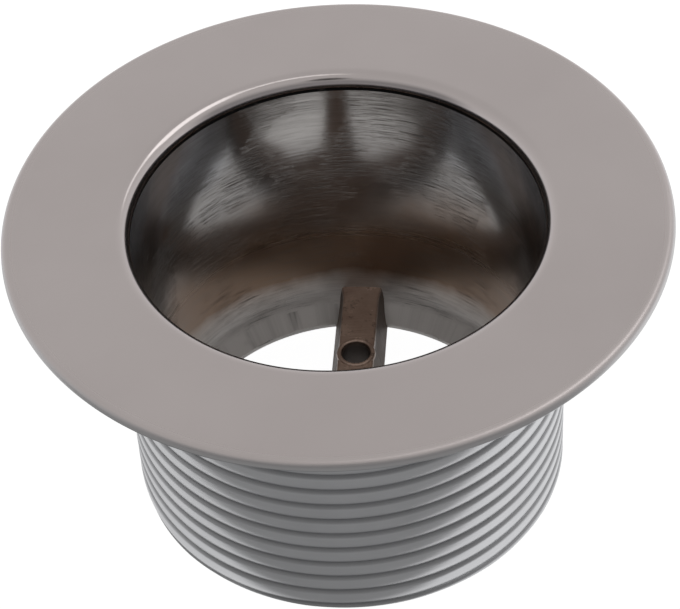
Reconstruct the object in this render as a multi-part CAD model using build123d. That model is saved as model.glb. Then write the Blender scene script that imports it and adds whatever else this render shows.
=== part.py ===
from build123d import *
import os
from math import radians, tan

# A bath waste: a wide flat flange over a short threaded barrel, cast in one piece with the
# four-armed cross that guards its outlet. Millimetres and degrees. +Z is up, and the origin is
# the middle of the bottom ring, on which the waste stands. The barrel is a plain cylinder at
# the crest of its thread.

# Barrel
overall_height = 36.1
thread_diameter = 47.8      # outside of a G 1 1/2 pipe thread
barrel_chamfer = 0.5

# Flange
flange_diameter = 70.0
flange_edge = 1.0           # thickness of the rim
flange_root = 2.8           # thickness over the flat seat
seat_inset = 3.5            # from the rim to the flat seat that presses on the bath
edge_round = 0.35           # rounding of the rim's top edge, and bevel of its lower one

# Mouth and bore
bore_diameter = 43.4        # where the rolled edge ends
mouth_round = 1.65          # the rolled edge between flange and bore
throat_height = 1.5         # straight polished throat that takes the plug
bore_draft = 0.9            # the bore closes by this angle from the throat down

# Outlet
outlet_inset = 2.8          # how far the outlet's edge stands in from the top of the bore
outlet_land = 0.5           # upright edge below the sloping floor
floor_slope = 45.0          # of the floor, from the horizontal
floor_blend = 2.5           # radius between the wall and the floor

# Cross
arm_count = 4
arm_top_width = 4.0
arm_height = 4.2
arm_draft = 14.0            # slope of each side, from the upright
arm_root = 1.0              # how far an arm runs on into the wall, at the bottom
hub_diameter = 9.0          # across the hub's top
hub_blend = 1.5             # in the corners between the arms
cross_turn = 83.5           # direction of the drilled arm, counted from +X

# Eye drilled through one arm
eye_distance = 10.4         # from the axis of the waste
eye_diameter = 3.2
eye_wall = 0.6              # metal left around the hole
eye_rise = 0.2              # the boss stands this much above the arm

flange_radius = flange_diameter / 2
thread_radius = thread_diameter / 2
bore_radius = bore_diameter / 2
throat_top = overall_height - mouth_round
bore_top = throat_top - throat_height
outlet_radius = bore_radius - outlet_inset
arm_spread = arm_height * tan(radians(arm_draft))


def floor_corner():
    """Where the drafted wall and the sloping floor would meet without their blend."""
    rise = tan(radians(floor_slope))
    lean = tan(radians(bore_draft))
    across = outlet_inset - lean * (bore_top - outlet_land)
    height = outlet_land + rise * across / (1 - rise * lean)
    return (bore_radius - lean * (bore_top - height), height)


def body_section():
    """Half of the turned shape, from the outlet round the outside to the mouth and back."""
    seat_height = overall_height - flange_root
    mouth_top = (bore_radius + mouth_round, overall_height)
    mouth_low = (bore_radius, throat_top)
    with BuildSketch(Plane.XZ) as half:
        with BuildLine():
            Polyline(
                (outlet_radius, outlet_land),
                (outlet_radius, 0),
                (thread_radius - barrel_chamfer, 0),
                (thread_radius, barrel_chamfer),
                (thread_radius, seat_height),
                (flange_radius - seat_inset, seat_height),
                (flange_radius, overall_height - flange_edge),
                (flange_radius, overall_height),
                mouth_top,
            )
            TangentArc(mouth_low, mouth_top, tangent=(0, 1))
            Polyline(mouth_low, (bore_radius, bore_top), floor_corner(), (outlet_radius, outlet_land))
        make_face()
        fillet(half.vertices().sort_by_distance(floor_corner())[0], radius=floor_blend)
        rim_low, rim_high = half.vertices().group_by(Axis.X)[-1].sort_by(Axis.Y)
        fillet(rim_high, radius=edge_round)
        chamfer(rim_low, length=edge_round)
    return half.sketch


def make_body():
    """Flange and barrel, turned about the axis."""
    return revolve(body_section(), axis=Axis.Z, revolution_arc=360)


def make_cross():
    """Drafted arms and their hub, level with the bottom of the barrel."""
    reach = bore_radius + arm_root
    with BuildPart() as cross:
        with BuildSketch() as foot:
            with PolarLocations(0, arm_count):
                Rectangle(reach, arm_top_width + 2 * arm_spread, align=(Align.MIN, Align.CENTER))
            Circle(hub_diameter / 2 + arm_spread)
            corners = foot.vertices().filter_by(lambda v: Vector(v.X, v.Y, 0).length < reach / 2)
            fillet(corners, radius=hub_blend)
        extrude(amount=arm_height, taper=arm_draft)
    return cross.part


def make_eye():
    """Boss and hole of the eye, on an arm that points along +X."""
    on_floor = (Align.CENTER, Align.CENTER, Align.MIN)
    at = Pos(eye_distance, 0, 0)
    boss = at * Cylinder(eye_diameter / 2 + eye_wall, arm_height + eye_rise, align=on_floor)
    hole = at * Cylinder(eye_diameter / 2, 3 * arm_height)
    return boss, hole


def make_waste():
    """The whole casting as one solid."""
    boss, hole = make_eye()
    grid = make_cross() + boss - hole
    return make_body() + Rot(0, 0, cross_turn) * grid


os.makedirs("parts", exist_ok=True)
waste_body = make_waste()
waste_body.label = "waste_body"
export_step(waste_body, "parts/waste_body.step")
print("waste_body: solids", len(waste_body.solids()), "volume", round(waste_body.volume, 1))
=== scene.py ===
# %% [markdown]
# # A chromed bath waste
# A bath waste is the drain that is clamped into the hole of a bathtub. This one is a single
# brass casting: a wide flange, a threaded barrel under it, and a cross over the outlet that
# keeps large things out of the pipe. The CAD model gives its exact size and is loaded as a
# fixed frame. Every piece below is built in metres round that frame, with +Z up and the
# origin in the middle of the ring on which the waste stands.

# %% Load the frame
from math import cos, pi, radians, sin, sqrt, tan

import bmesh
import bpy
from mathutils import Matrix, Vector


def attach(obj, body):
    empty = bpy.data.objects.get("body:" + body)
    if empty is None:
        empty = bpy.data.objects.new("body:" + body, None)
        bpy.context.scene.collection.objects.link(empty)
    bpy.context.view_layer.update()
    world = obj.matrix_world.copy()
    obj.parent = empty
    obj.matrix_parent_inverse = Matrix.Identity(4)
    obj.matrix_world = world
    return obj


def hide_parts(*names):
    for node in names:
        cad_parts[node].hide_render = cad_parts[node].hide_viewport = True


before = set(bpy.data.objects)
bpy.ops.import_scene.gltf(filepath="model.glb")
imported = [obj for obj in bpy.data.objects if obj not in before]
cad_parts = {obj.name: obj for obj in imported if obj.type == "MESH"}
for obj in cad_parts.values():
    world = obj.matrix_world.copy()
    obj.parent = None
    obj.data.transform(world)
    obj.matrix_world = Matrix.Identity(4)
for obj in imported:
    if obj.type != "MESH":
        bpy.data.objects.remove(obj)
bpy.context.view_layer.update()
MM = 0.001


# %% [markdown]
# ## Helpers for node trees
# Materials and Geometry Nodes are both trees of nodes. Writing them by hand takes many lines,
# so one helper adds a node, sets its options, and fills or links its inputs. A second one is
# short for arithmetic, which both kinds of tree use all the time.

# %% Node helpers
def node(tree, kind, inputs=None, **options):
    made = tree.nodes.new(kind)
    for name, value in options.items():
        setattr(made, name, value)
    for key, value in (inputs or {}).items():
        if isinstance(value, bpy.types.NodeSocket):
            tree.links.new(value, made.inputs[key])
        else:
            made.inputs[key].default_value = value
    return made


def calc(tree, operation, first, *others):
    """One Math node, or a chain of them from left to right for more than two values."""
    for value in others or (0.0,):
        first = node(tree, "ShaderNodeMath", {0: first, 1: value}, operation=operation).outputs[0]
    return first


def vector(tree, operation, first, second=None, **named):
    inputs = {0: first, **named}
    if second is not None:
        inputs[1] = second
    return node(tree, "ShaderNodeVectorMath", inputs, operation=operation)


# %% [markdown]
# ## Helpers for materials
# Polishing and turning leave marks that run round the axis. A noise that is read in
# (x / r, y / r, z) is seamless round the part, and a low scale round it with a high scale
# along it stretches the grains into rings. This beats a wave texture, which looks like a
# screw, and a UV map, which the turned parts do not otherwise need.

# %% Material helpers
def new_material(name, metallic=1.0):
    material = bpy.data.materials.new(name)
    material.use_nodes = True
    tree = material.node_tree
    shader = tree.nodes["Principled BSDF"]
    shader.inputs["Metallic"].default_value = metallic
    return material, tree, shader


def place(tree):
    """Object coordinates, their three parts, and the distance from the axis."""
    point = node(tree, "ShaderNodeTexCoord").outputs["Object"]
    x, y, z = node(tree, "ShaderNodeSeparateXYZ", {0: point}).outputs
    flat = node(tree, "ShaderNodeCombineXYZ", {0: x, 1: y}).outputs[0]
    radius = vector(tree, "LENGTH", flat).outputs["Value"]
    return {"point": point, "x": x, "y": y, "z": z, "radius": radius}


def ring_space(tree, around, along):
    """A point for noise that has few grains round the axis and many along it."""
    at = place(tree)
    east = calc(tree, "MULTIPLY", calc(tree, "DIVIDE", at["x"], at["radius"]), around)
    north = calc(tree, "MULTIPLY", calc(tree, "DIVIDE", at["y"], at["radius"]), around)
    depth = calc(tree, "SUBTRACT", at["z"], at["radius"])
    height = calc(tree, "MULTIPLY", depth, along / MM)
    return node(tree, "ShaderNodeCombineXYZ", {0: east, 1: north, 2: height}).outputs[0]


def noise(tree, point, scale, detail=3.0, rough=0.5):
    inputs = {"Vector": point, "Scale": scale, "Detail": detail, "Roughness": rough}
    return node(tree, "ShaderNodeTexNoise", inputs).outputs["Fac"]


def spread(tree, value, low, high, to_low=0, to_high=1):
    inputs = {"Value": value, 1: low, 2: high, 3: to_low, 4: to_high}
    return node(tree, "ShaderNodeMapRange", inputs).outputs[0]


def band(tree, value, start, end, share=1):
    """From 0 at one place to a share at another, both in millimetres."""
    return spread(tree, value, start * MM, end * MM, 0, share)


def blend(tree, share, first, second):
    colours = [(*c, 1.0) if isinstance(c, tuple) else c for c in (first, second)]
    inputs = {0: share, 6: colours[0], 7: colours[1]}
    return node(tree, "ShaderNodeMix", inputs, data_type="RGBA").outputs[2]


def bump(tree, height, depth_mm, strength=1.0, under=None):
    inputs = {"Height": height, "Distance": depth_mm * MM, "Strength": strength}
    if under is not None:
        inputs["Normal"] = under
    return node(tree, "ShaderNodeBump", inputs).outputs[0]


def dress(tree, shader, tone, haze, normal):
    for name, socket in (("Base Color", tone), ("Roughness", haze), ("Normal", normal)):
        tree.links.new(socket, shader.inputs[name])


# %% [markdown]
# ## Polished chrome for the flange
# Buffed chrome plate is a mirror with a soft haze. The haze comes from polishing lines that
# are too fine to count, and from a film of wiped water. Both change the roughness a little
# from place to place, so that is where the noise goes, and the colour stays almost plain.
# The outer edge and the rolled edge of the mouth are rubbed a little duller, and the side of the rim is
# painted darker, as painted shade.

# %% Flange chrome
BUFFED = (0.64, 0.588, 0.583), (0.67, 0.618, 0.613)
RIM_SIDE_SHADE = (0.53, 0.525, 0.53)


def make_flange_chrome():
    material, tree, shader = new_material("polished_chrome")
    at = place(tree)
    film = noise(tree, at["point"], 70.0, 4.0)
    rings = noise(tree, ring_space(tree, 1.5, 6.0), 1.0, 4.0, 0.6)
    tone = blend(tree, spread(tree, film, 0.3, 0.7), *BUFFED)
    # Painted shade: the side of the rim is painted a darker grey.
    tone = blend(tree, band(tree, at["radius"], 34.6, 35.0), tone, RIM_SIDE_SHADE)
    wiped = spread(tree, film, 0.3, 0.7, 0.05, 0.09)
    lines = spread(tree, rings, 0.3, 0.7, 0, 0.03)
    outer_edge = band(tree, at["radius"], 33.6, 34.2, 0.3)
    rolled_edge = band(tree, at["radius"], 24.5, 23.5, 0.09)
    haze = calc(tree, "ADD", wiped, lines, outer_edge, rolled_edge)
    dress(tree, shader, tone, haze, bump(tree, rings, 0.004, 0.35))
    return material


flange_chrome = make_flange_chrome()
print("flange finish:", flange_chrome.name)

# %% [markdown]
# ## Plain chrome for the thread
# The thread is plated with the rest but nobody buffs it. It keeps the fine lines that the
# die cut along the turns, so it is duller and a little bluer than the flange, and its roots
# are painted darker, as painted shade. A root is found from height and angle, by the rule
# that later cuts the thread.

# %% Thread chrome
PITCH = 25.4 / 11
THREAD_START = 0.387  # of a turn, which sets the angle at which the thread begins
PLAIN = (0.54, 0.545, 0.56), (0.59, 0.595, 0.61)
PITTED = (0.22, 0.22, 0.23)
ROOT_SHADE = (0.33, 0.333, 0.342)


def thread_phase(tree, at):
    """From 0 at one root of the thread to 1 at the next."""
    turn = calc(tree, "DIVIDE", calc(tree, "ARCTAN2", at["y"], at["x"]), 2 * pi)
    phase = calc(tree, "SUBTRACT", calc(tree, "DIVIDE", at["z"], PITCH * MM), turn)
    return calc(tree, "FRACT", calc(tree, "ADD", phase, THREAD_START + 1.0))


def make_thread_chrome():
    material, tree, shader = new_material("thread_chrome")
    at = place(tree)
    film = noise(tree, at["point"], 160.0, 4.0)
    cuts = noise(tree, ring_space(tree, 2.0, 9.0), 1.0, 5.0, 0.65)
    specks = noise(tree, at["point"], 900.0, 2.0)
    phase = thread_phase(tree, at)
    # Painted shade: the narrow roots of the thread are painted darker.
    root = calc(tree, "MAXIMUM", spread(tree, phase, 0.8, 0.98), spread(tree, phase, 0.12, 0.0))
    tone = blend(tree, spread(tree, film, 0.3, 0.7), *PLAIN)
    tone = blend(tree, spread(tree, specks, 0.76, 0.8, 0.0, 0.4), tone, PITTED)
    tone = blend(tree, root, tone, ROOT_SHADE)
    cut_lines = spread(tree, cuts, 0.25, 0.75, 0.27, 0.36)
    haze = calc(tree, "ADD", cut_lines, calc(tree, "MULTIPLY", root, 0.2))
    dress(tree, shader, tone, haze, bump(tree, specks, 0.02, 0.3, bump(tree, cuts, 0.012, 0.5)))
    return material


thread_chrome = make_thread_chrome()
print("thread finish:", thread_chrome.name)

# %% [markdown]
# ## The cast bore
# Plating reaches badly into a deep hole. Near the mouth the wall is a grey mirror with
# turning marks, and lower down it goes brown, because the metal under the chrome shows
# through. Water has left a pale scale on the sloping floor. Each of these tones fades in
# over a band of height, and a slow noise moves some of the bands up and down. The scores
# are thin dark lines along the rings, which a second noise keeps only in patches.

# %% Bore metal
GREY_PLATE = (0.25, 0.24, 0.235)
BROWN_METAL = (0.17, 0.108, 0.07)
SIDE_REFLECTION_BLUE = (0.5, 0.54, 0.6)
END_SHADE_DARK = (0.06, 0.05, 0.045)
BACK_REFLECTION_PALE = (0.36, 0.345, 0.335)
PALE_SCALE = (0.80, 0.77, 0.75)
GRIME = (0.12, 0.11, 0.1)
SCORE = (0.03, 0.025, 0.02)


def bore_scores(tree, at):
    patch = spread(tree, noise(tree, at["point"], 150.0, 3.0), 0.45, 0.6)
    lines = noise(tree, ring_space(tree, 5.0, 24.0), 1.0, 3.0, 0.6)
    return calc(tree, "MULTIPLY", spread(tree, lines, 0.56, 0.64), patch)


def make_bore_metal():
    material, tree, shader = new_material("cast_bore")
    at = place(tree)
    height = at["z"]
    clouds = noise(tree, at["point"], 110.0, 4.0, 0.6)
    fine = noise(tree, ring_space(tree, 5.0, 3.0), 1.0, 6.0, 0.7)
    rings = noise(tree, ring_space(tree, 1.2, 4.0), 1.0, 5.0, 0.65)
    drift = calc(tree, "MULTIPLY", calc(tree, "SUBTRACT", clouds, 0.5), 0.012)
    depth = calc(tree, "ADD", height, drift)
    deep = band(tree, depth, 24, 10)
    low = band(tree, calc(tree, "ADD", height, calc(tree, "MULTIPLY", drift, 0.3)), 7.2, 2.8)
    scores = bore_scores(tree, at)

    # How far a point is to the side, from 0 on the Y axis to 1 on the X axis.
    aside = calc(tree, "DIVIDE", calc(tree, "ABSOLUTE", at["x"]), at["radius"])
    # Painted reflection: the left and right of the upper wall are painted bluish.
    sides = calc(tree, "MULTIPLY", spread(tree, aside, 0.45, 0.8), band(tree, height, 25, 31))
    # Painted shade: the far left and right ends of the wall near the mouth are painted dark.
    ends = calc(tree, "MULTIPLY", spread(tree, aside, 0.9, 0.98), band(tree, height, 32, 28, 0.7))
    # Painted reflection: the back of the upper wall is painted paler.
    back = calc(tree, "MULTIPLY", spread(tree, aside, 0.6, 0.25), band(tree, height, 22, 29))

    tone = blend(tree, band(tree, depth, 23, 13), GREY_PLATE, BROWN_METAL)
    tone = blend(tree, sides, tone, SIDE_REFLECTION_BLUE)
    tone = blend(tree, ends, tone, END_SHADE_DARK)
    tone = blend(tree, back, tone, BACK_REFLECTION_PALE)
    tone = blend(tree, low, tone, PALE_SCALE)
    tone = blend(tree, spread(tree, fine, 0.45, 0.75, 0, 0.4), tone, GRIME)
    tone = blend(tree, calc(tree, "MULTIPLY", scores, 0.6), tone, SCORE)

    turned_marks = spread(tree, rings, 0.3, 0.7, 0.08, 0.12)
    stains = spread(tree, clouds, 0.4, 0.7, 0, 0.05)
    dull = [calc(tree, "MULTIPLY", share, 0.2) for share in (deep, low)]
    haze = calc(tree, "ADD", turned_marks, stains, *dull)
    bare = calc(tree, "MULTIPLY", low, 0.45)
    plate = calc(tree, "SUBTRACT", spread(tree, deep, 0, 1, 0.86, 0.65), bare)
    tree.links.new(plate, shader.inputs["Metallic"])

    grain = bump(tree, fine, 0.008, 0.4, bump(tree, rings, 0.01, 0.35))
    scored = bump(tree, calc(tree, "SUBTRACT", 0.0, scores), 0.018, 0.5, grain)
    dress(tree, shader, tone, haze, scored)
    return material


bore_metal = make_bore_metal()
print("bore finish:", bore_metal.name)

# %% [markdown]
# ## The dark line under the mouth
# The bottom of the rolled edge and the top of the throat get a thin black line of painted
# shade, which draws the outline of the mouth more than any other thing.

# %% Seam metal
def make_seam_shade_metal():
    material, tree, shader = new_material("painted_shade_seam")
    crumbs = noise(tree, place(tree)["point"], 900.0, 3.0)
    tone = blend(tree, spread(tree, crumbs, 0.6, 0.8), (0.01, 0.01, 0.01), (0.06, 0.055, 0.05))
    haze = spread(tree, crumbs, 0.3, 0.7, 0.25, 0.45)
    dress(tree, shader, tone, haze, bump(tree, crumbs, 0.02, 0.5))
    return material


seam_shade_metal = make_seam_shade_metal()
print("seam finish:", seam_shade_metal.name)

# %% [markdown]
# ## The turned body
# Flange, mouth, barrel and bore are one shape that is turned round the axis. Its section is
# a closed line of (radius, height) pairs in millimetres. Real edges are never sharp, and an
# edge that is a little round also catches the light, so every corner of the section gets a
# radius of its own. Three small helpers round a corner, draw an arc and divide a long step.

# %% Curves for a section
def rounded(corners, steps=4):
    """Replace each (radius, height, rounding) corner by a short curve."""
    line = []
    for i, (r, z, size) in enumerate(corners):
        here = Vector((r, z))
        if size == 0 or i in (0, len(corners) - 1):
            line.append(here)
            continue
        back = (Vector(corners[i - 1][:2]) - here).normalized() * size
        on = (Vector(corners[i + 1][:2]) - here).normalized() * size
        for k in range(steps + 1):
            t = k / steps
            line.append(here + back * (1 - t) ** 2 + on * t * t)
    return line


def split_up(line, longest):
    """Add points so that no step of the line is much longer than asked."""
    out = [line[0]]
    for a, b in zip(line, line[1:]):
        parts = max(1, round((b - a).length / longest))
        out += [a.lerp(b, k / parts) for k in range(1, parts + 1)]
    return out


def arc(middle, radius, start, end, steps):
    turn = [radians(start + (end - start) * k / steps) for k in range(steps + 1)]
    return [Vector((middle[0] + radius * cos(t), middle[1] + radius * sin(t))) for t in turn]


# %% [markdown]
# The main sizes are those of the CAD model. The line runs from the top of the thread out
# under the flange, over its rim and face, through the rolled edge into the bore, and down to
# the sloping floor and the outlet. Steps are short where the light changes fast.

# %% Section of the body
HEIGHT = 36.1
FLANGE_RADIUS = 35.0
RIM_ROUND = 0.8
RIM_BEVEL = (34.78, 34.99), (35.0, 35.2)
SEAT = 33.3
SEAT_EDGE = 31.5
THREAD_RADIUS = 23.9
THREAD_TOP = SEAT - 0.4
CHAMFER = 0.5         # at the bottom of the thread
BORE_RADIUS = 21.7
ROLL = 1.65           # radius of the rolled edge between flange and bore
THROAT_END = 32.95
WALL_END = (21.24, 3.84)
FLOOR_CORNER = (21.227, 2.827)
OUTLET_RADIUS = 18.9
OUTLET_LAND = 0.5
RING = 19.5, 22.9     # two points on the flat of the ring on which the waste stands

under = rounded([(THREAD_RADIUS, THREAD_TOP, 0), (THREAD_RADIUS, SEAT, 0.35), (SEAT_EDGE, SEAT, 0.5),
                 (*RIM_BEVEL[0], 0.1), (*RIM_BEVEL[1], 0.1), (FLANGE_RADIUS, HEIGHT - RIM_ROUND, 0)])
rim = arc((FLANGE_RADIUS - RIM_ROUND, HEIGHT - RIM_ROUND), RIM_ROUND, 0, 90, 8)[1:]
roll = arc((BORE_RADIUS + ROLL, HEIGHT - ROLL), ROLL, 90, 180, 28)
face = split_up([rim[-1], roll[0]], 1.0)[1:-1]
throat = split_up([roll[-1], Vector((BORE_RADIUS, THROAT_END))], 0.25)[1:]
wall = split_up([throat[-1], Vector(WALL_END)], 1.0)[1:]
floor_line = rounded([(*WALL_END, 0), (*FLOOR_CORNER, 1.0), (OUTLET_RADIUS, OUTLET_LAND, 0.12),
                      (OUTLET_RADIUS, 0.0, 0.1), (RING[0], 0.0, 0)], 8)[1:]
section = (under, rim, face, roll, throat, wall, floor_line)
print("points of the section:", sum(len(line) for line in section))

# %% [markdown]
# ## A lathe in Geometry Nodes
# Spin would make the plain body, but not the thread, which climbs as it goes round. So the
# tree takes the section as a line of points, makes a grid with one column for each angle,
# and wraps it round the axis. Rows marked "climb" rise by one pitch in a turn, as the die
# cut them, and the groove is cut where their height says. The other marks say how uneven
# the casting is there and which finish it wears.

# %% Section mesh with its marks
MARKS = ("climb", "uneven", "bore", "thread", "seam")
THREAD_ROWS = 16      # rows of points in one pitch
SEAM_ROWS = 3         # the last rows of the rolled edge
EVEN_ABOVE = 32.9     # the throat is turned true, and the cast wall below it is not
EVEN_FADE = 4


def section_rows():
    """The closed section as (point, marks) rows, from the bottom ring round the outside."""
    rows = [(p, {"thread": 1}) for p in split_up([Vector((r, 0.0)) for r in RING], 0.6)]
    turns = THREAD_TOP / PITCH + 1 + THREAD_START
    for k in range(round(turns * THREAD_ROWS) + 1):
        height = PITCH * (k / THREAD_ROWS - 1 - THREAD_START)
        rows.append((Vector((THREAD_RADIUS, height)), {"climb": 1, "thread": 1}))
    rows += [(p, {"thread": 1}) for p in under[1:]]
    rows += [(p, {}) for p in rim + face + roll[:-SEAM_ROWS]]
    # The last rows of the rolled edge and the top of the throat wear the painted shade line.
    rows += [(p, {"seam": 1}) for p in roll[-SEAM_ROWS:] + throat[:1]]
    rows += [(p, {"bore": 1}) for p in throat[1:]]
    for p in wall:
        uneven = min(1, max(0, (EVEN_ABOVE - p.y) / EVEN_FADE))
        rows.append((p, {"bore": 1, "uneven": uneven}))
    rows += [(p, {"bore": 1, "uneven": 0.4}) for p in floor_line[:-1]]
    rows.append((Vector((RING[0], 0.0)), {"thread": 1}))
    return rows


def section_mesh(rows):
    mesh = bpy.data.meshes.new("body_section")
    mesh.from_pydata([(p.x * MM, 0, p.y * MM) for p, marks in rows], [], [])
    for name in MARKS:
        values = [float(marks.get(name, 0)) for p, marks in rows]
        mesh.attributes.new(name, "FLOAT", "POINT").data.foreach_set("value", values)
    return mesh


rows = section_rows()
body = bpy.data.objects.new("waste_shell", section_mesh(rows))
bpy.context.scene.collection.objects.link(body)
print("section rows:", len(rows))

# %% [markdown]
# The inputs of a tree are the sizes that a reader may want to change, and their names say
# what they are. A table holds them, because they are used twice: for the inputs of the tree,
# and later for the modifier.

# %% Helpers for Geometry Nodes
def new_tree(name, sizes):
    tree = bpy.data.node_groups.new(name, "GeometryNodeTree")
    for way in ("INPUT", "OUTPUT"):
        tree.interface.new_socket("Geometry", in_out=way, socket_type="NodeSocketGeometry")
    for label, (kind, value) in sizes.items():
        socket = tree.interface.new_socket(label, in_out="INPUT", socket_type="NodeSocket" + kind)
        socket.default_value = value
    return tree, node(tree, "NodeGroupInput").outputs, node(tree, "NodeGroupOutput")


def sampled(tree, section, value, index, kind="FLOAT"):
    inputs = {"Geometry": section, "Value": value, "Index": index}
    return node(tree, "GeometryNodeSampleIndex", inputs, data_type=kind).outputs["Value"]


def mark(tree, name):
    inputs = {"Name": name}
    return node(tree, "GeometryNodeInputNamedAttribute", inputs, data_type="FLOAT").outputs["Attribute"]


def switch(tree, choice, otherwise, chosen):
    inputs = {"Switch": choice, "False": otherwise, "True": chosen}
    return node(tree, "GeometryNodeSwitch", inputs, input_type="FLOAT").outputs[0]


def finished(tree, shape, material):
    """The end of a tree: shaded smooth, made real and given its material."""
    smooth = node(tree, "GeometryNodeSetShadeSmooth", {"Geometry": shape})
    real = node(tree, "GeometryNodeRealizeInstances", {0: smooth.outputs[0]})
    inputs = {"Geometry": real.outputs[0], "Material": material}
    return node(tree, "GeometryNodeSetMaterial", inputs).outputs[0]


# %% [markdown]
# Three parts make the lathe. The first finds the radius of the thread: its turns are broad
# and nearly flat, as the smooth outline of the barrel shows, and the narrow valley between
# them fades out under the flange. The second moves the cast wall in and out a little, since
# a casting is never quite round, and its mirror images show that at once.

# %% Radius of the thread and of the casting
LATHE_SIZES = {
    "Columns": ("Int", 240),
    "Pitch": ("Float", PITCH * MM),
    "Thread Radius": ("Float", THREAD_RADIUS * MM),
    "Thread Depth": ("Float", 0.3 * MM),
    "Thread Start": ("Float", THREAD_START),
    "Thread Top": ("Float", THREAD_TOP * MM),
    "Chamfer Radius": ("Float", (THREAD_RADIUS - CHAMFER) * MM),
    "Casting Unevenness": ("Float", 0.05 * MM),
}
CREST = 0.75          # where the crest lies between one root and the next
VALLEY_POWER = 2.8    # the higher, the narrower the valley
RUN_OUT = 1.6         # height in which the thread fades out below its top
LUMPS_UP = 90.0       # scale of the lumps along the axis, against 1 round it


def thread_radius(tree, given, risen, turn):
    phase = calc(tree, "SUBTRACT", calc(tree, "DIVIDE", risen, given["Pitch"]), turn)
    phase = calc(tree, "FRACT", calc(tree, "ADD", phase, given["Thread Start"]))
    below = calc(tree, "DIVIDE", calc(tree, "SUBTRACT", CREST, phase), CREST)
    above = calc(tree, "DIVIDE", calc(tree, "SUBTRACT", phase, CREST), 1 - CREST)
    groove = calc(tree, "POWER", calc(tree, "MAXIMUM", below, above), VALLEY_POWER)
    left = calc(tree, "SUBTRACT", given["Thread Top"], risen)
    inputs = {0: left, 2: RUN_OUT * MM}
    fade = node(tree, "ShaderNodeMapRange", inputs, interpolation_type="SMOOTHSTEP").outputs[0]
    cut = calc(tree, "MULTIPLY", groove, given["Thread Depth"], fade)
    crest = calc(tree, "SUBTRACT", given["Thread Radius"], cut)
    return calc(tree, "MINIMUM", crest, calc(tree, "ADD", given["Chamfer Radius"], risen))


def cast_radius(tree, given, plain, height, uneven, east, north):
    stretched = calc(tree, "MULTIPLY", height, LUMPS_UP)
    spot = node(tree, "ShaderNodeCombineXYZ", {0: east, 1: north, 2: stretched}).outputs[0]
    lump = calc(tree, "SUBTRACT", noise(tree, spot, 3.0, 2.0), 0.5)
    return calc(tree, "ADD", plain, calc(tree, "MULTIPLY", lump, uneven, given["Casting Unevenness"]))


print("inputs of the lathe:", ", ".join(LATHE_SIZES))

# %% [markdown]
# The third part wraps the grid. Its first and last columns land on each other, and merging
# them closes the seam. A face whose corners carry different marks reads a mark in between,
# so each finish has its own share above which it counts.

# %% Lathe tree
FINISHES = (("thread", thread_chrome, 0.9), ("bore", bore_metal, 0.4), ("seam", seam_shade_metal, 0.9))
MERGE_DISTANCE = 0.002


def make_lathe():
    tree, given, out = new_tree("lathe_with_thread", LATHE_SIZES)
    section = given["Geometry"]
    size = node(tree, "GeometryNodeAttributeDomainSize", {0: section}, component="MESH")
    row_count = size.outputs["Point Count"]
    columns = calc(tree, "ADD", given["Columns"], 1.0)
    grid = node(tree, "GeometryNodeMeshGrid", {"Vertices X": columns, "Vertices Y": row_count})
    index = node(tree, "GeometryNodeInputIndex").outputs[0]
    column = calc(tree, "FLOOR", calc(tree, "DIVIDE", calc(tree, "ADD", index, 0.5), row_count))
    row = calc(tree, "SUBTRACT", index, calc(tree, "MULTIPLY", column, row_count))
    turn = calc(tree, "DIVIDE", column, given["Columns"])
    angle = calc(tree, "MULTIPLY", turn, 2 * pi)
    east = calc(tree, "COSINE", angle)
    north = calc(tree, "SINE", angle)

    point = node(tree, "GeometryNodeInputPosition").outputs[0]
    point = sampled(tree, section, point, row, "FLOAT_VECTOR")
    point = node(tree, "ShaderNodeSeparateXYZ", {0: point}).outputs
    climbs = calc(tree, "GREATER_THAN", sampled(tree, section, mark(tree, "climb"), row), 0.5)
    risen = calc(tree, "ADD", point[2], calc(tree, "MULTIPLY", given["Pitch"], turn))
    risen = calc(tree, "MINIMUM", calc(tree, "MAXIMUM", risen, 0.0), given["Thread Top"])
    height = switch(tree, climbs, point[2], risen)
    uneven = sampled(tree, section, mark(tree, "uneven"), row)
    cast = cast_radius(tree, given, point[0], height, uneven, east, north)
    radius = switch(tree, climbs, cast, thread_radius(tree, given, risen, turn))

    across = calc(tree, "MULTIPLY", radius, east)
    away = calc(tree, "MULTIPLY", radius, north)
    target = node(tree, "ShaderNodeCombineXYZ", {0: across, 1: away, 2: height}).outputs[0]
    inputs = {"Geometry": grid.outputs[0], "Position": target}
    shape = node(tree, "GeometryNodeSetPosition", inputs).outputs[0]
    for name, material, share in FINISHES:
        value = sampled(tree, section, mark(tree, name), row)
        inputs = {"Geometry": shape, "Name": name, "Value": value}
        shape = node(tree, "GeometryNodeStoreNamedAttribute", inputs, data_type="FLOAT",
                     domain="POINT").outputs[0]
    inputs = {"Geometry": shape, "Distance": MERGE_DISTANCE * MM}
    merged = node(tree, "GeometryNodeMergeByDistance", inputs).outputs[0]
    shape = finished(tree, merged, flange_chrome)
    for name, material, share in FINISHES:
        chosen = calc(tree, "GREATER_THAN", mark(tree, name), share)
        inputs = {"Geometry": shape, "Selection": chosen, "Material": material}
        shape = node(tree, "GeometryNodeSetMaterial", inputs).outputs[0]
    tree.links.new(shape, out.inputs[0])
    return tree


lathe = make_lathe()
print("lathe nodes:", len(lathe.nodes))

# %% [markdown]
# A finished piece must be a plain mesh, because the modifier and its tree do not travel with
# the model. The next helper sets every input through the identifier of its socket, before
# Blender evaluates the object for the first time, takes the result, and drops the modifier.

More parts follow.
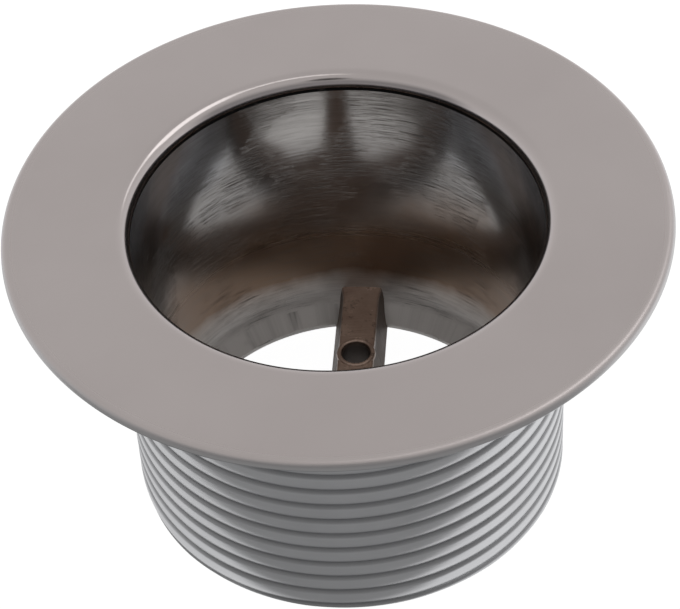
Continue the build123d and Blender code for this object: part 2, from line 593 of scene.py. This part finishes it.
# %% Turn a tree's result into a mesh
def bake_tree(obj, tree, sizes):
    modifier = obj.modifiers.new("tree", "NODES")
    modifier.node_group = tree
    for item in tree.interface.items_tree:
        if item.item_type == "SOCKET" and item.in_out == "INPUT" and item.name in sizes:
            modifier[item.identifier] = sizes[item.name][1]
    graph = bpy.context.evaluated_depsgraph_get()
    mesh = bpy.data.meshes.new_from_object(obj.evaluated_get(graph))
    obj.modifiers.clear()
    obj.data = mesh
    shell = bmesh.new()
    shell.from_mesh(mesh)
    wires = [edge for edge in shell.edges if not edge.link_faces]
    bmesh.ops.delete(shell, geom=wires, context="EDGES")
    open_edges = sum(1 for edge in shell.edges if len(edge.link_faces) == 1)
    crowded = sum(1 for edge in shell.edges if len(edge.link_faces) > 2)
    volume = shell.calc_volume(signed=True)
    if volume < 0:
        bmesh.ops.reverse_faces(shell, faces=shell.faces)
    shell.to_mesh(mesh)
    shell.free()
    print(obj.name, "faces", len(mesh.polygons), "cm3", round(volume * 1e6, 2))
    print("  wires removed", len(wires), "open edges", open_edges, "crowded edges", crowded)


bake_tree(body, lathe, LATHE_SIZES)

# %% [markdown]
# ## The cross over the outlet
# Four arms run from the wall to a small hub. They were cast with the body, so their sides
# lean, their top edges are soft, and they widen where they meet the wall. Their outline in
# plan is drawn once, as a polygon of one arm that is turned four times.

# %% Outline of the cross
ARM_TOP = 4.0
HUB_RADIUS = 4.5
HUB_PULL = 0.93       # where the curve between two arms is pulled to, as a share of the radius
CROSS_TURN = radians(83.5)
FLARE_START = 18.5    # from here to its end an arm widens
FLARE = 0.55
ARM_REACH = 21.9


def arm_half():
    """One side of the arm along +X, from the hub's corner to the wall, as (x, y)."""
    half = ARM_TOP / 2
    start = sqrt(HUB_RADIUS ** 2 - half ** 2)
    side = [(x, half) for x in (start + 1.3, start + 4.0, 14.0, FLARE_START)]
    for k in range(1, 9):
        t = k / 8
        side.append((FLARE_START + (ARM_REACH - FLARE_START) * t, half + FLARE * t ** 2.6))
    return side


def cross_outline():
    side = arm_half()
    lower = [Vector((x, -y)) for x, y in side]
    upper = [Vector(p) for p in reversed(side)]
    bend_from = Vector(side[0])
    bend_to = Vector((bend_from.y, bend_from.x))
    pull = Vector((HUB_RADIUS * cos(radians(45)), HUB_RADIUS * sin(radians(45)))) * HUB_PULL
    bend = []
    for k in range(1, 10):
        t = k / 10
        bend.append(bend_from * (1 - t) ** 2 + pull * 2 * t * (1 - t) + bend_to * t * t)
    plan = []
    for arm in range(4):
        turn = Matrix.Rotation(arm * pi / 2, 2)
        plan += [turn @ p for p in lower + upper + bend]
    return [Matrix.Rotation(CROSS_TURN, 2) @ p for p in plan]


outline = cross_outline()
print("outline of the cross:", len(outline), "points")

# %% [markdown]
# Each level of the cross is that outline moved out a little: most at the bottom, where the
# arms are widest, and inwards over the top edge. No point goes past the end of an arm, so
# the cross stays inside the wall of the barrel.

# %% Mesh of the cross
ARM_HEIGHT = 4.2
ARM_DRAFT = tan(radians(14.0))
ARM_END = 22.1
ARM_ROUND = 0.3       # radius of the soft top edge
ARM_FOOT = 0.08       # bevel at the bottom
LEVELS = 5            # of the side, and again of the top edge


def moved_out(plan, amount):
    """The closed outline, each corner shifted outwards by an amount in millimetres."""
    out = []
    for i, here in enumerate(plan):
        a = (here - plan[i - 1]).normalized()
        b = (plan[(i + 1) % len(plan)] - here).normalized()
        normal = Vector((a.y + b.y, -a.x - b.x)).normalized()
        out.append(here + normal * amount / max(0.5, sqrt((1 + a.dot(b)) / 2)))
    return out


def cross_levels():
    """Pairs of height and how far the outline moves out there."""
    foot = ARM_HEIGHT * ARM_DRAFT
    levels = [(0.0, foot - ARM_FOOT), (ARM_FOOT, foot)]
    for k in range(1, LEVELS + 1):
        z = ARM_FOOT + (ARM_HEIGHT - ARM_FOOT - ARM_ROUND) * k / LEVELS
        levels.append((z, (ARM_HEIGHT - z) * ARM_DRAFT))
    for k in range(1, LEVELS + 1):
        t = radians(90 / LEVELS * k)
        inwards = ARM_ROUND * (1 - cos(t))
        levels.append((ARM_HEIGHT - ARM_ROUND + ARM_ROUND * sin(t), ARM_ROUND * ARM_DRAFT - inwards))
    return levels


def closed_mesh(name, shape):
    """A mesh from a bmesh, with its faces turned outwards."""
    bmesh.ops.recalc_face_normals(shape, faces=shape.faces)
    mesh = bpy.data.meshes.new(name)
    shape.to_mesh(mesh)
    shape.free()
    return mesh


def make_cross():
    shape = bmesh.new()
    rings = []
    for z, amount in cross_levels():
        points = [p * min(1, ARM_END / p.length) for p in moved_out(outline, amount)]
        rings.append([shape.verts.new((p.x * MM, p.y * MM, z * MM)) for p in points])
    count = len(outline)
    for low, high in zip(rings, rings[1:]):
        for i in range(count):
            j = (i + 1) % count
            shape.faces.new((low[i], low[j], high[j], high[i]))
    shape.faces.new(list(reversed(rings[0])))
    shape.faces.new(rings[-1])
    return closed_mesh("outlet_cross", shape)


cross = bpy.data.objects.new("outlet_cross", make_cross())
bpy.context.scene.collection.objects.link(cross)
print("cross faces:", len(cross.data.polygons))

# %% [markdown]
# ## The drilled eye
# One arm has a small eye, where a chain or a strainer can be hooked. It is a low boss with
# a hole through it. A Boolean modifier joins and cuts solid shapes exactly, and the tools
# for it are turned shapes again, with soft edges.

# %% Boss and drill
EYE_DISTANCE = 10.4
EYE = (EYE_DISTANCE * cos(CROSS_TURN), EYE_DISTANCE * sin(CROSS_TURN))
BOSS_LINE = [(0, 0.02), (2.3, 0.02), (2.25, 4.05), (2.2, 4.25), (2.12, 4.35), (1.98, 4.4),
             (1.85, 4.38), (1.75, 4.3), (0, 4.25)]
DRILL_LINE = [(0, -1), (1.65, -1), (1.6, 0.1), (1.6, 3.95), (1.65, 4.2), (1.8, 4.37),
              (2.15, 5.2), (0, 5.2)]


def turned(name, line, middle, columns=64):
    """A closed shape from (radius, height) points, the first and last on its axis."""
    shape = bmesh.new()
    rings = []
    for r, z in line:
        if r == 0:
            rings.append([shape.verts.new((middle[0] * MM, middle[1] * MM, z * MM))] * columns)
            continue
        turn = [2 * pi * k / columns for k in range(columns)]
        ring = [(middle[0] + r * cos(t), middle[1] + r * sin(t)) for t in turn]
        rings.append([shape.verts.new((x * MM, y * MM, z * MM)) for x, y in ring])
    for low, high in zip(rings, rings[1:]):
        for i in range(columns):
            j = (i + 1) % columns
            corners = []
            for vertex in (low[i], low[j], high[j], high[i]):
                if vertex not in corners:
                    corners.append(vertex)
            shape.faces.new(corners)
    made = bpy.data.objects.new(name, closed_mesh(name, shape))
    bpy.context.scene.collection.objects.link(made)
    return made


def boolean(target, tool, operation):
    modifier = target.modifiers.new(operation, "BOOLEAN")
    modifier.operation = operation
    modifier.object = tool
    modifier.solver = "EXACT"
    graph = bpy.context.evaluated_depsgraph_get()
    target.data = bpy.data.meshes.new_from_object(target.evaluated_get(graph))
    target.modifiers.clear()
    bpy.data.objects.remove(tool)


boolean(cross, turned("eye_boss", BOSS_LINE, EYE), "UNION")
boolean(cross, turned("eye_drill", DRILL_LINE, EYE), "DIFFERENCE")
print("cross with its eye:", len(cross.data.polygons), "faces")

# %% [markdown]
# ## Metal of the cross
# The cross lies deep in the casting, where plating hardly gets and water stays. It is a warm
# brown on top, and painted nearly black down its sides and in the eye, as painted shade.
# File marks run across the drilled arm, so their noise is stretched that way.

# %% Cross metal
TARNISH = (0.42, 0.285, 0.225), (0.6, 0.435, 0.345)
TARNISH_PITS = (0.07, 0.05, 0.045)
SIDE_SHADE_BLACK = (0.05, 0.047, 0.045)
EYE_SHADE = (0.06, 0.045, 0.038)


def make_cross_metal():
    material, tree, shader = new_material("tarnished_and_shaded_cross", 0.25)
    at = place(tree)
    clouds = noise(tree, at["point"], 260.0, 5.0, 0.6)
    fine = noise(tree, at["point"], 1100.0, 3.0, 0.6)
    shift = vector(tree, "SUBTRACT", at["point"], (EYE[0] * MM, EYE[1] * MM, 0)).outputs[0]
    from_eye = vector(tree, "LENGTH", vector(tree, "MULTIPLY", shift, (1, 1, 0)).outputs[0])
    # Painted shade: the inside of the drilled eye is painted darker.
    eye_shade = spread(tree, from_eye.outputs["Value"], 0.0017, 0.00175, 0.8, 0)
    tone = blend(tree, spread(tree, clouds, 0.35, 0.65), *TARNISH)
    tone = blend(tree, spread(tree, fine, 0.58, 0.7, 0, 0.6), tone, TARNISH_PITS)
    # Painted shade: below the top edge the sides are painted nearly black.
    tone = blend(tree, band(tree, at["z"], 4.1, 3.6, 0.75), tone, SIDE_SHADE_BLACK)
    tone = blend(tree, eye_shade, tone, EYE_SHADE)
    rubbed = spread(tree, clouds, 0.3, 0.7, 0.16, 0.34)
    haze = calc(tree, "ADD", rubbed, band(tree, at["z"], 4.1, 3.6, 0.35))
    stretched = vector(tree, "MULTIPLY", at["point"], (250, 3200, 250)).outputs[0]
    file_marks = noise(tree, stretched, 1.0, 2.0)
    rough = bump(tree, file_marks, 0.07, 0.9, bump(tree, clouds, 0.08, 0.4))
    dress(tree, shader, tone, haze, bump(tree, fine, 0.02, 0.5, rough))
    return material


cross_metal = make_cross_metal()
cross.data.materials.clear()
cross.data.materials.append(cross_metal)
cross.data.shade_smooth()
cross.data.set_sharp_from_angle(angle=radians(35))
print("cross finish:", cross_metal.name)

# %% [markdown]
# ## Flash round the outlet
# The mould leaves a thin ragged edge of metal where its two halves met, round the hole at
# the bottom. It follows a circle, so a tree sweeps a tiny round along that circle, and noise
# pushes the points about until it looks torn. The seed is an input, so the result is the
# same in every run.

# %% Flash tree
FLASH_SIZES = {
    "Radius": ("Float", (OUTLET_RADIUS + 0.05) * MM),
    "Height": ("Float", OUTLET_LAND * MM),
    "Thickness": ("Float", 0.09 * MM),
    "Raggedness": ("Float", 0.5 * MM),
    "Seed": ("Float", 4.0),
}


def circle(tree, points, radius):
    inputs = {"Resolution": points, "Radius": radius}
    return node(tree, "GeometryNodeCurvePrimitiveCircle", inputs).outputs[0]


def make_flash_tree():
    tree, given, out = new_tree("outlet_flash", FLASH_SIZES)
    inputs = {"Curve": circle(tree, 720, given["Radius"]),
              "Profile Curve": circle(tree, 6, given["Thickness"])}
    tube = node(tree, "GeometryNodeCurveToMesh", inputs).outputs[0]
    where = node(tree, "GeometryNodeInputPosition").outputs[0]
    inputs = {"Vector": where, "W": given["Seed"], "Scale": 700.0, "Detail": 4.0, "Roughness": 0.7}
    rag = node(tree, "ShaderNodeTexNoise", inputs, noise_dimensions="4D").outputs["Color"]
    shift = vector(tree, "SUBTRACT", rag, (0.5, 0.5, 0.5)).outputs[0]
    shift = vector(tree, "SCALE", shift, Scale=given["Raggedness"]).outputs[0]
    lift = node(tree, "ShaderNodeCombineXYZ", {2: given["Height"]}).outputs[0]
    inputs = {"Geometry": tube, "Offset": vector(tree, "ADD", shift, lift).outputs[0]}
    torn = node(tree, "GeometryNodeSetPosition", inputs).outputs[0]
    tree.links.new(finished(tree, torn, bore_metal), out.inputs[0])
    return tree


flash = bpy.data.objects.new("outlet_flash", bpy.data.meshes.new("flash_start"))
bpy.context.scene.collection.objects.link(flash)
bake_tree(flash, make_flash_tree(), FLASH_SIZES)

# %% [markdown]
# ## Ride on the frame
# Every piece moves with the only body of the part and stands for its CAD solid, which is
# then hidden.

# %% Join the pieces to the frame
for piece in (body, cross, flash):
    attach(piece, "root")
    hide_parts("waste_body")
    print(piece.name, "rides on root")

# %% [markdown]
# ## Floor
# The floor is white for the camera. Mirror rays see it a little darker on the left and much
# darker in front of the waste, a painted shade on the floor, and that gives the barrel its
# dark middle. Part of the floor's colour is plain diffuse paint, which keeps the soft shadow
# of the waste.

# %% Floor
FLOOR_HALF = 4.0      # metres from the middle to each side
FLOOR_Z = -0.0002     # a little below the waste, so that the two never share a plane
FLOOR_WHITE = 0.96
SHADE_EDGE_LEAN = 0.13    # how much the edge of the dark front turns from the X axis


def make_floor_paint():
    material = bpy.data.materials.new("pale_floor")
    material.use_nodes = True
    tree = material.node_tree
    tree.nodes.remove(tree.nodes["Principled BSDF"])
    rays = node(tree, "ShaderNodeLightPath").outputs
    kinds = [rays[name] for name in ("Is Camera Ray", "Is Glossy Ray", "Is Transmission Ray")]
    seen = calc(tree, "MAXIMUM", *kinds)
    at = place(tree)
    # Painted shade on the floor, seen only by mirror rays: darker in front and a little on the left.
    slant = calc(tree, "ADD", at["y"], calc(tree, "MULTIPLY", at["x"], SHADE_EDGE_LEAN))
    front = band(tree, slant, -22.5, -24.5, 0.7)
    left = band(tree, at["x"], 20, -20, 0.16)
    not_camera = calc(tree, "SUBTRACT", 1.0, rays["Is Camera Ray"])
    shade = calc(tree, "MULTIPLY", calc(tree, "MAXIMUM", front, left), not_camera)
    strength = calc(tree, "MULTIPLY", seen, calc(tree, "SUBTRACT", FLOOR_WHITE, shade))
    paint = node(tree, "ShaderNodeBsdfDiffuse", {"Color": (0.2, 0.2, 0.2, 1)}).outputs[0]
    glow = node(tree, "ShaderNodeEmission", {"Strength": strength}).outputs[0]
    both = node(tree, "ShaderNodeAddShader", {0: paint, 1: glow}).outputs[0]
    tree.links.new(both, tree.nodes["Material Output"].inputs[0])
    return material


def make_floor():
    mesh = bpy.data.meshes.new("floor")
    ends = ((-1, -1), (1, -1), (1, 1), (-1, 1))
    corners = [(x * FLOOR_HALF, y * FLOOR_HALF, FLOOR_Z) for x, y in ends]
    mesh.from_pydata(corners, [], [(0, 1, 2, 3)])
    mesh.materials.append(make_floor_paint())
    made = bpy.data.objects.new("floor", mesh)
    bpy.context.scene.collection.objects.link(made)
    return made


floor = make_floor()
print("floor side:", 2 * FLOOR_HALF, "m")

# %% [markdown]
# ## Light
# Chrome shows its room more than its own colour. The room here is a pale cove that gets
# greyer with height and dark in front, with a black spot like a lens in the middle of that
# side. The camera itself sees plain white. The world shader reads only the direction of a
# ray, so the room stays in place in every view.

# %% World
ROOM = ((0.0, (0.66, 0.66, 0.67)), (0.14, (0.66, 0.655, 0.655)), (0.4, (0.6, 0.59, 0.58)),
        (1.0, (0.5, 0.49, 0.48)))
ROOM_FRONT = (0.12, 0.12, 0.125)
LENS_WAY = (0, -0.735, 0.678)
LENS_TONE = (0.01, 0.01, 0.01)


def make_world():
    world = bpy.data.worlds.new("studio")
    bpy.context.scene.world = world
    world.use_nodes = True
    tree = world.node_tree
    ray = node(tree, "ShaderNodeTexCoord").outputs["Generated"]
    x, y, z = node(tree, "ShaderNodeSeparateXYZ", {0: ray}).outputs
    ramp = node(tree, "ShaderNodeValToRGB", {0: z})
    stops = ramp.color_ramp.elements
    for position, tone in ROOM[1:-1]:
        stops.new(position)
    for stop, (position, tone) in zip(stops, ROOM):
        stop.position = position
        stop.color = (*tone, 1)
    flat = node(tree, "ShaderNodeCombineXYZ", {0: x, 1: y}).outputs[0]
    length = vector(tree, "LENGTH", flat).outputs["Value"]
    ahead = calc(tree, "DIVIDE", calc(tree, "SUBTRACT", 0.0, y), length)
    dark = calc(tree, "MULTIPLY", spread(tree, ahead, 0.2, 0.5), spread(tree, z, 0.75, 0.4, 0, 0.7))
    room = blend(tree, dark, ramp.outputs[0], ROOM_FRONT)
    toward = vector(tree, "DOT_PRODUCT", ray, LENS_WAY).outputs["Value"]
    room = blend(tree, spread(tree, toward, 0.989, 0.993), room, LENS_TONE)
    camera_ray = node(tree, "ShaderNodeLightPath").outputs["Is Camera Ray"]
    shown = blend(tree, camera_ray, room, (1.0, 1.0, 1.0))
    tree.links.new(shown, tree.nodes["Background"].inputs["Color"])
    return world


print("world:", make_world().name)

# %% [markdown]
# Three long soft boxes hang end to end, in a line from above the waste to its right rear.
# They give little light, but the rolled edge of the mouth mirrors them as a thin white line.

# %% Soft boxes
SOFT_BOXES = (
    # name, one end, other end, width and power
    ("strip_top", (-0.026, -0.092, 0.49), (0.17, 0.01, 0.47), 0.03, 0.024),
    ("strip_middle", (0.17, 0.01, 0.47), (0.32, 0.14, 0.35), 0.17, 0.11),
    ("strip_low", (0.32, 0.14, 0.35), (0.26, 0.31, 0.29), 0.06, 0.02),
)
BOX_AIM = Vector((0, 0, 0.03))


def strip_light(name, start, end, width, power):
    """A long soft box from one point to another, facing the part."""
    start = Vector(start)
    end = Vector(end)
    middle = (start + end) / 2
    along = (end - start).normalized()
    side = along.cross((middle - BOX_AIM).normalized()).normalized()
    back = side.cross(along)
    lamp = bpy.data.lights.new(name, "AREA")
    lamp.shape = "RECTANGLE"
    lamp.size = (end - start).length
    lamp.size_y = width
    lamp.energy = power
    made = bpy.data.objects.new(name, lamp)
    bpy.context.scene.collection.objects.link(made)
    turn = Matrix((along, back.cross(along), back)).transposed()
    made.matrix_world = Matrix.Translation(middle) @ turn.to_4x4()
    return made


print("soft boxes:", [strip_light(*box).name for box in SOFT_BOXES])

# %% [markdown]
# ## Camera
# The photograph was taken from about 43 degrees above, close enough for the barrel to look
# narrower than the flange. These angles and the distance were solved from the outlines of
# the flange, the mouth and the barrel.

# %% Camera
CAMERA_TILT = 0.7459
CAMERA_ROLL = -0.0653
CAMERA_YAW = -0.0010
CAMERA_PITCH = -0.0388
CAMERA_DISTANCE = 0.26743
CAMERA_AIM = Vector((0, 0, 37.2 * MM))
LENS = 136.7


def make_camera():
    back = Vector((0, -cos(CAMERA_TILT), sin(CAMERA_TILT)))
    spot = back * CAMERA_DISTANCE + CAMERA_AIM
    ahead = -back
    right = ahead.cross(Vector((0, 0, 1))).normalized()
    up = right.cross(ahead)
    ahead = (ahead + tan(CAMERA_YAW) * right + tan(CAMERA_PITCH) * up).normalized()
    right = ahead.cross(up).normalized()
    up = right.cross(ahead)
    side = cos(CAMERA_ROLL) * right + sin(CAMERA_ROLL) * up
    top = -sin(CAMERA_ROLL) * right + cos(CAMERA_ROLL) * up
    lens = bpy.data.cameras.new("camera")
    lens.lens = LENS
    lens.sensor_width = 36.0
    lens.clip_start = 0.01
    made = bpy.data.objects.new("camera", lens)
    bpy.context.scene.collection.objects.link(made)
    turn = Matrix((side, top, -ahead)).transposed()
    made.matrix_world = Matrix.Translation(spot) @ turn.to_4x4()
    return made


bpy.context.scene.camera = make_camera()
bpy.context.scene.view_settings.view_transform = "Standard"
print("lens", LENS, "mm, distance", round(CAMERA_DISTANCE / MM), "mm")
